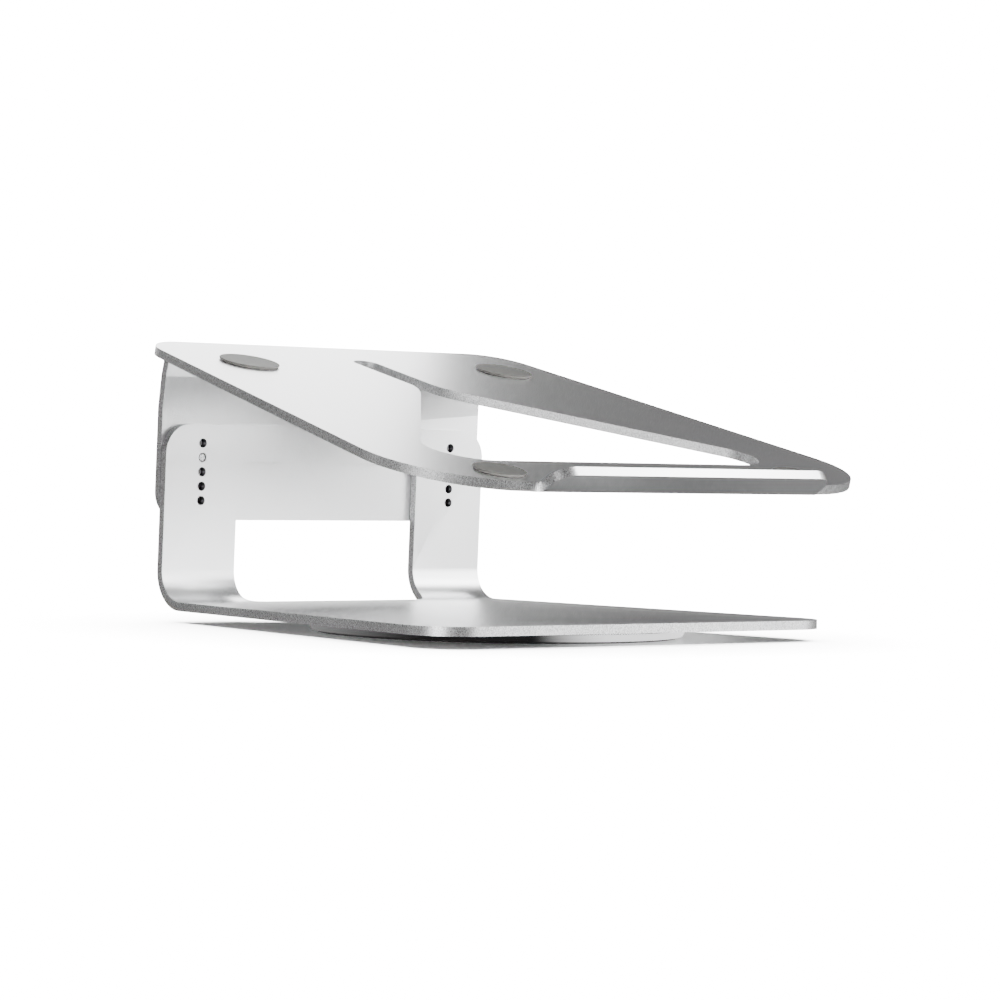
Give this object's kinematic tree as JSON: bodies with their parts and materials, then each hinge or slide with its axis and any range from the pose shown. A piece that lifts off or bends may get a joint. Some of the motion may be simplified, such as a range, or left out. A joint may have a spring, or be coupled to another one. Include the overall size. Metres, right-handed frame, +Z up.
{
  "type": "swivel laptop stand",
  "caption": "Swivel laptop stand of bent aluminium sheet: sloped open tray with a front lip and soft pads, screwed to a windowed base bracket that turns on a low ball-bearing disc.",
  "frame": {"origin": "the swivel axis where it meets the floor", "axes": "+Z up; +X to the right seen from the front lip; +Y to the rear, so the lip is at -Y"},
  "size_m": [0.2572, 0.2733, 0.1279],
  "materials": {
    "satin_aluminium": "satin anodised",
    "turned_aluminium": "turned, satin",
    "race_steel": "ground",
    "ball_steel": "polished",
    "screw_steel": "plated",
    "cage_brass": "stamped",
    "grey_silicone": "matte",
    "black_rubber": "matte"
  },
  "bodies": {
    "turntable": {"floor_pad": "black_rubber", "turntable_disc": "turned_aluminium", "lower_race": "race_steel"},
    "ball_ring": {"ball_cage": "cage_brass", "bearing_ball_1": "ball_steel", "bearing_ball_2": "ball_steel", "bearing_ball_3": "ball_steel", "bearing_ball_4": "ball_steel", "bearing_ball_5": "ball_steel", "bearing_ball_6": "ball_steel", "bearing_ball_7": "ball_steel", "bearing_ball_8": "ball_steel", "bearing_ball_9": "ball_steel", "bearing_ball_10": "ball_steel", "bearing_ball_11": "ball_steel", "bearing_ball_12": "ball_steel"},
    "stand": {"upper_race": "race_steel", "race_screw_1": "screw_steel", "race_screw_2": "screw_steel", "race_screw_3": "screw_steel", "race_screw_4": "screw_steel", "swivel_hub": "race_steel", "hub_screw_1": "screw_steel", "hub_screw_2": "screw_steel", "hub_screw_3": "screw_steel", "pivot_screw": "screw_steel", "base_bracket": "satin_aluminium", "height_screw_left": "screw_steel", "height_screw_right": "screw_steel", "flat_washer_left": "screw_steel", "flat_washer_right": "screw_steel", "spring_washer_left": "screw_steel", "spring_washer_right": "screw_steel"},
    "tray_body": {"tray": "satin_aluminium", "rest_pad_rear_left": "grey_silicone", "rest_pad_rear_right": "grey_silicone", "rest_pad_front_left": "grey_silicone", "rest_pad_front_right": "grey_silicone"}
  },
  "joints": [
    {"name": "swivel", "type": "hinge", "parent": "turntable", "child": "stand", "pos_m": [0, 0, 0], "axis": [0, 0, 1], "continuous": true},
    {"name": "ball_orbit", "type": "hinge", "parent": "turntable", "child": "ball_ring", "pos_m": [0, 0, 0], "axis": [0, 0, 1], "continuous": true},
    {"name": "tray_height", "type": "slide", "parent": "stand", "child": "tray_body", "axis": [0, -0.0314, 0.9995], "range_m": [-0.0066, 0.0066]}
  ],
  "couplings": [
    {"joint": "ball_orbit", "follows": "swivel", "ratio": 0.5}
  ]
}
